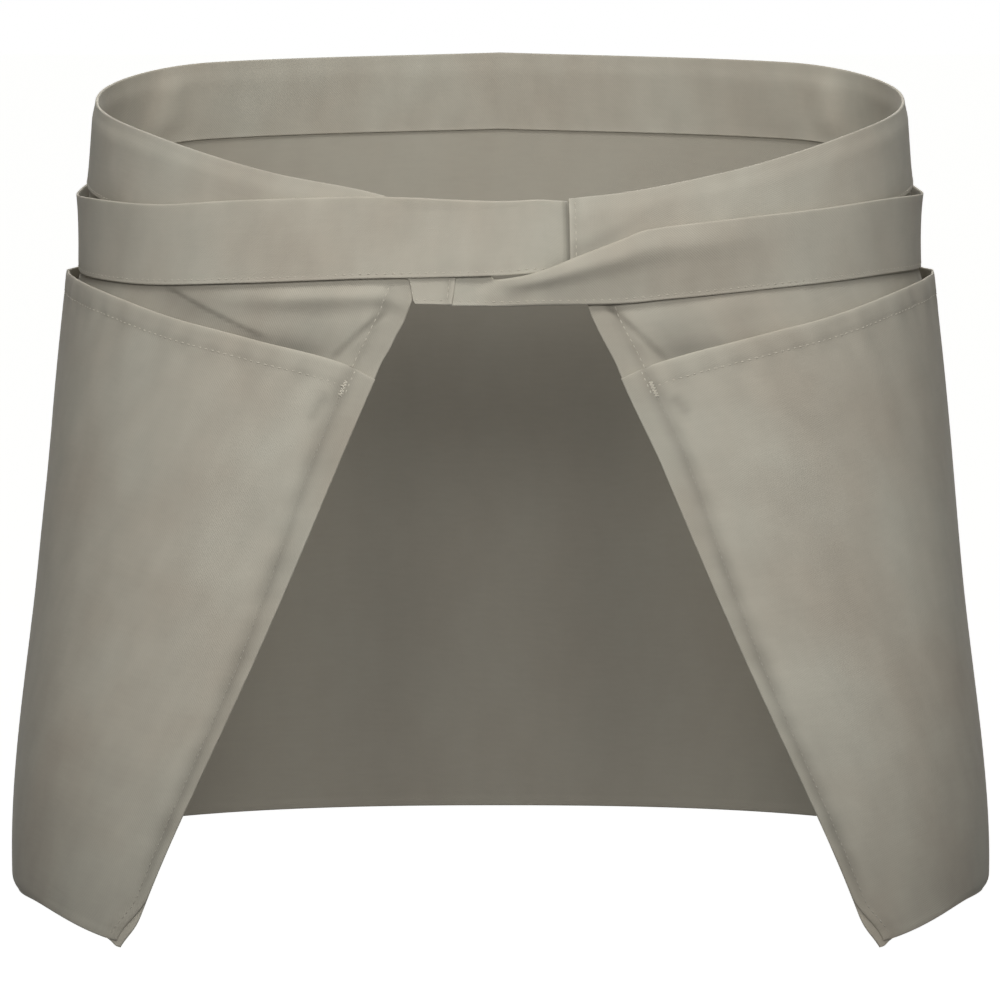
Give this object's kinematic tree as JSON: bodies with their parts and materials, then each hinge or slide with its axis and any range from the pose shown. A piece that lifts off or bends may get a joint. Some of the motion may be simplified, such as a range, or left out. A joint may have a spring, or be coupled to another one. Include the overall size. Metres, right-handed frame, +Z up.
{
  "type": "waist apron",
  "caption": "Wrap-round waist apron of plain twill with a folded waistband, crossed ties, a full-width pocket layer and a panel that stays open at the back.",
  "frame": {"origin": "middle of the waist, level with the ties at the back and the sides", "axes": "+Z up, +Y to the wearer's front, -Y to the open back, +X across the hips to the wearer's right"},
  "size_m": [0.447, 0.3225, 0.3874],
  "materials": {
    "twill_panel": "matte cotton twill, stone grey, a little darker on its inner side",
    "twill_pocket": "matte cotton twill, stone grey, with topstitched hems",
    "twill_band": "matte cotton twill, stone grey, folded and pressed",
    "twill_tie": "matte cotton twill, stone grey, folded, pressed and edge-stitched"
  },
  "bodies": {
    "root": {"skirt_panel": "twill_panel", "pocket_panel": "twill_pocket", "waistband": "twill_band", "tie_right": "twill_tie", "tie_left": "twill_tie", "front_knot": "twill_tie"}
  },
  "joints": []
}
